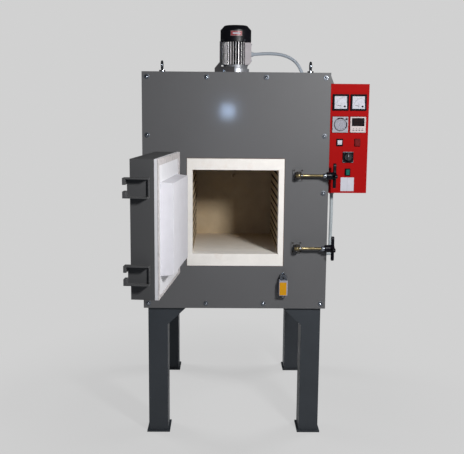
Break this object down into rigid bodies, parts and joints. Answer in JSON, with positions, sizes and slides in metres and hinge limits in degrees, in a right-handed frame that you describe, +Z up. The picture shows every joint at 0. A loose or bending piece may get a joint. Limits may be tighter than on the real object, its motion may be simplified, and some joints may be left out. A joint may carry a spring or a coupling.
{
  "type": "muffle furnace",
  "caption": "Front-loading chamber furnace on legs: refractory-lined chamber, side-hinged plug door with swing-bolt latches, roof fan motor and side control box.",
  "frame": {"origin": "on the floor, at the centre of the four anchor holes in the foot plates", "axes": "+Z up, +X to the right seen from the front, +Y to the rear, the door faces -Y"},
  "size_m": [1.0514, 1.7275, 1.955],
  "materials": {
    "case_paint": "satin",
    "leg_paint": "satin",
    "red_panel": "satin",
    "zinc_yellow": "satin",
    "zinc": "satin",
    "dark_steel": "satin",
    "refractory": "matte",
    "fibre_board": "matte",
    "seal": "matte",
    "element_wire": "matte",
    "motor_aluminium": "satin",
    "black_plastic": "satin",
    "conduit_plastic": "satin",
    "grey_plastic": "satin",
    "needle": "matte",
    "lamp_red": "gloss",
    "button_green": "gloss",
    "white_plastic": "gloss",
    "switch_yellow": "satin"
  },
  "bodies": {
    "furnace": {"front_legs": "leg_paint", "rear_legs": "leg_paint", "front_plate": "case_paint", "side_panels": "case_paint", "base_plate": "case_paint", "top_cover": "case_paint", "rear_cover": "case_paint", "dome_nuts": "zinc", "eye_bolts": "zinc", "chamber_collar": "refractory", "chamber_floor": "refractory", "chamber_roof": "refractory", "chamber_side_left": "refractory", "chamber_side_right": "refractory", "chamber_rear_wall": "refractory", "insulation_boards": "fibre_board", "heating_element_left": "element_wire", "heating_element_right": "element_wire", "thermocouple": "refractory", "motor_bracket": "dark_steel", "motor_flange": "motor_aluminium", "motor_body": "motor_aluminium", "motor_cowl": "black_plastic", "motor_terminal_box": "motor_aluminium", "motor_conduit": "conduit_plastic", "control_conduit": "conduit_plastic", "conduit_glands": "conduit_plastic", "control_box": "case_paint", "control_panel": "red_panel", "control_bracket": "case_paint", "ammeters": "black_plastic", "timer_body": "grey_plastic", "temperature_controller": "grey_plastic", "switch_frames": "black_plastic", "signal_lamp": "lamp_red", "cam_switch_plate": "black_plastic", "door_switch": "switch_yellow", "hinge_brackets": "dark_steel", "latch_brackets": "dark_steel", "pivot_pins": "zinc"},
    "door": {"door_shell": "case_paint", "door_insulation": "fibre_board", "door_board": "fibre_board", "door_seal": "seal", "door_plug": "fibre_board", "catch_brackets": "case_paint", "hinge_leaves": "dark_steel"},
    "latch_bolt_lower": {"latch_bolt_lower": "zinc_yellow"},
    "latch_bolt_upper": {"latch_bolt_upper": "zinc_yellow"},
    "latch_knob_lower": {"latch_knob_lower": "black_plastic"},
    "latch_knob_upper": {"latch_knob_upper": "black_plastic"},
    "fan": {"fan_shaft": "dark_steel", "fan_impeller": "element_wire"},
    "ammeter_needle_left": {"ammeter_needle_left": "needle"},
    "ammeter_needle_right": {"ammeter_needle_right": "needle"},
    "timer_dial": {"timer_dial": "grey_plastic"},
    "rocker": {"rocker": "white_plastic"},
    "start_button": {"start_button": "button_green"},
    "cam_switch_knob": {"cam_switch_knob": "black_plastic"},
    "switch_plunger": {"switch_plunger": "zinc"}
  },
  "joints": [
    {"name": "door_hinge", "type": "hinge", "parent": "furnace", "child": "door", "pos_m": [-0.306, -0.586, 1.0915], "axis": [0, 0, 1], "range_deg": [-75, 96]},
    {"name": "latch_swing_lower", "type": "hinge", "parent": "furnace", "child": "latch_bolt_lower", "pos_m": [0.288, -0.559, 0.918], "axis": [0, 0, 1], "range_deg": [-90, 0]},
    {"name": "knob_turn_lower", "type": "hinge", "parent": "latch_bolt_lower", "child": "latch_knob_lower", "pos_m": [0.438, -0.559, 0.918], "axis": [1, 0, 0], "continuous": true},
    {"name": "latch_swing_upper", "type": "hinge", "parent": "furnace", "child": "latch_bolt_upper", "pos_m": [0.288, -0.559, 1.257], "axis": [0, 0, 1], "range_deg": [-90, 0]},
    {"name": "knob_turn_upper", "type": "hinge", "parent": "latch_bolt_upper", "child": "latch_knob_upper", "pos_m": [0.438, -0.559, 1.257], "axis": [1, 0, 0], "continuous": true},
    {"name": "fan_spin", "type": "hinge", "parent": "furnace", "child": "fan", "pos_m": [0, -0.225, 1.6], "axis": [0, 0, 1], "continuous": true},
    {"name": "needle_swing_left", "type": "hinge", "parent": "furnace", "child": "ammeter_needle_left", "pos_m": [0.498, -0.504, 1.572], "axis": [0, 1, 0], "range_deg": [0, 80], "stiffness_Nm_per_rad": 0.01},
    {"name": "needle_swing_right", "type": "hinge", "parent": "furnace", "child": "ammeter_needle_right", "pos_m": [0.58, -0.504, 1.572], "axis": [0, 1, 0], "range_deg": [0, 80], "stiffness_Nm_per_rad": 0.01},
    {"name": "timer_dial_turn", "type": "hinge", "parent": "furnace", "child": "timer_dial", "pos_m": [0.48, -0.5, 1.489], "axis": [0, -1, 0], "continuous": true},
    {"name": "rocker_tilt", "type": "hinge", "parent": "furnace", "child": "rocker", "pos_m": [0.48, -0.49, 1.407], "axis": [1, 0, 0], "range_deg": [-7, 7]},
    {"name": "start_button_press", "type": "slide", "parent": "furnace", "child": "start_button", "axis": [0, 1, 0], "range_m": [0, 0.004], "stiffness_N_per_m": 400},
    {"name": "cam_switch_turn", "type": "hinge", "parent": "furnace", "child": "cam_switch_knob", "pos_m": [0.521, -0.5, 1.339], "axis": [0, 1, 0], "range_deg": [0, 90]},
    {"name": "switch_plunger_press", "type": "slide", "parent": "furnace", "child": "switch_plunger", "axis": [0, 0, -1], "range_m": [0, 0.004], "stiffness_N_per_m": 300}
  ]
}
